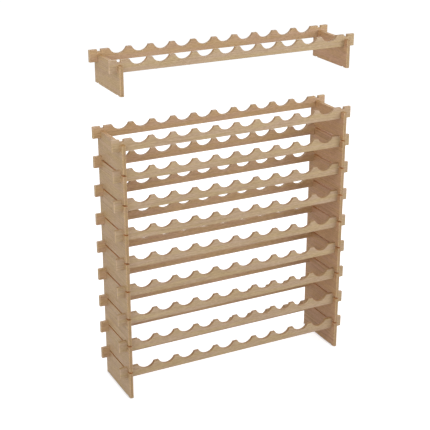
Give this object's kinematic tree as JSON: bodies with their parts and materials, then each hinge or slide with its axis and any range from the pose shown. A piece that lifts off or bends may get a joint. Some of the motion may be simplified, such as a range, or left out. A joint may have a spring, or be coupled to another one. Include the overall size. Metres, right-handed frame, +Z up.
{
  "type": "wine rack",
  "caption": "Free-standing stacking wooden wine rack: scalloped rails cradle bottles on slotted side boards, and every tier lifts out of the slots of the tier below.",
  "frame": {"origin": "on the floor, under the middle of the rack", "axes": "+X to the right along the rails, +Y to the back, +Z up"},
  "size_m": [1.042, 0.254, 1.3745],
  "materials": {
    "rail_wood": "planed and sanded softwood, unvarnished, matt",
    "board_wood": "planed and sanded softwood, unvarnished, matt"
  },
  "bodies": {
    "tier_01": {"tier_01_left_board": "board_wood", "tier_01_right_board": "board_wood", "tier_01_front_rail": "rail_wood", "tier_01_back_rail": "rail_wood"},
    "tier_02": {"tier_02_left_board": "board_wood", "tier_02_right_board": "board_wood", "tier_02_front_rail": "rail_wood", "tier_02_back_rail": "rail_wood"},
    "tier_03": {"tier_03_left_board": "board_wood", "tier_03_right_board": "board_wood", "tier_03_front_rail": "rail_wood", "tier_03_back_rail": "rail_wood"},
    "tier_04": {"tier_04_left_board": "board_wood", "tier_04_right_board": "board_wood", "tier_04_front_rail": "rail_wood", "tier_04_back_rail": "rail_wood"},
    "tier_05": {"tier_05_left_board": "board_wood", "tier_05_right_board": "board_wood", "tier_05_front_rail": "rail_wood", "tier_05_back_rail": "rail_wood"},
    "tier_06": {"tier_06_left_board": "board_wood", "tier_06_right_board": "board_wood", "tier_06_front_rail": "rail_wood", "tier_06_back_rail": "rail_wood"},
    "tier_07": {"tier_07_left_board": "board_wood", "tier_07_right_board": "board_wood", "tier_07_front_rail": "rail_wood", "tier_07_back_rail": "rail_wood"},
    "tier_08": {"tier_08_left_board": "board_wood", "tier_08_right_board": "board_wood", "tier_08_front_rail": "rail_wood", "tier_08_back_rail": "rail_wood"},
    "tier_09": {"tier_09_left_board": "board_wood", "tier_09_right_board": "board_wood", "tier_09_front_rail": "rail_wood", "tier_09_back_rail": "rail_wood"},
    "tier_10": {"tier_10_left_board": "board_wood", "tier_10_right_board": "board_wood", "tier_10_front_rail": "rail_wood", "tier_10_back_rail": "rail_wood"}
  },
  "joints": [
    {"name": "tier_02_lift", "type": "slide", "parent": "tier_01", "child": "tier_02", "axis": [0, 0, 1], "range_m": [0, 0.178]},
    {"name": "tier_03_lift", "type": "slide", "parent": "tier_02", "child": "tier_03", "axis": [0, 0, 1], "range_m": [0, 0.178]},
    {"name": "tier_04_lift", "type": "slide", "parent": "tier_03", "child": "tier_04", "axis": [0, 0, 1], "range_m": [0, 0.178]},
    {"name": "tier_05_lift", "type": "slide", "parent": "tier_04", "child": "tier_05", "axis": [0, 0, 1], "range_m": [0, 0.178]},
    {"name": "tier_06_lift", "type": "slide", "parent": "tier_05", "child": "tier_06", "axis": [0, 0, 1], "range_m": [0, 0.178]},
    {"name": "tier_07_lift", "type": "slide", "parent": "tier_06", "child": "tier_07", "axis": [0, 0, 1], "range_m": [0, 0.178]},
    {"name": "tier_08_lift", "type": "slide", "parent": "tier_07", "child": "tier_08", "axis": [0, 0, 1], "range_m": [0, 0.178]},
    {"name": "tier_09_lift", "type": "slide", "parent": "tier_08", "child": "tier_09", "axis": [0, 0, 1], "range_m": [0, 0.178]},
    {"name": "tier_10_lift", "type": "slide", "parent": "tier_09", "child": "tier_10", "axis": [0, 0, 1], "range_m": [-0.178, 0]}
  ]
}
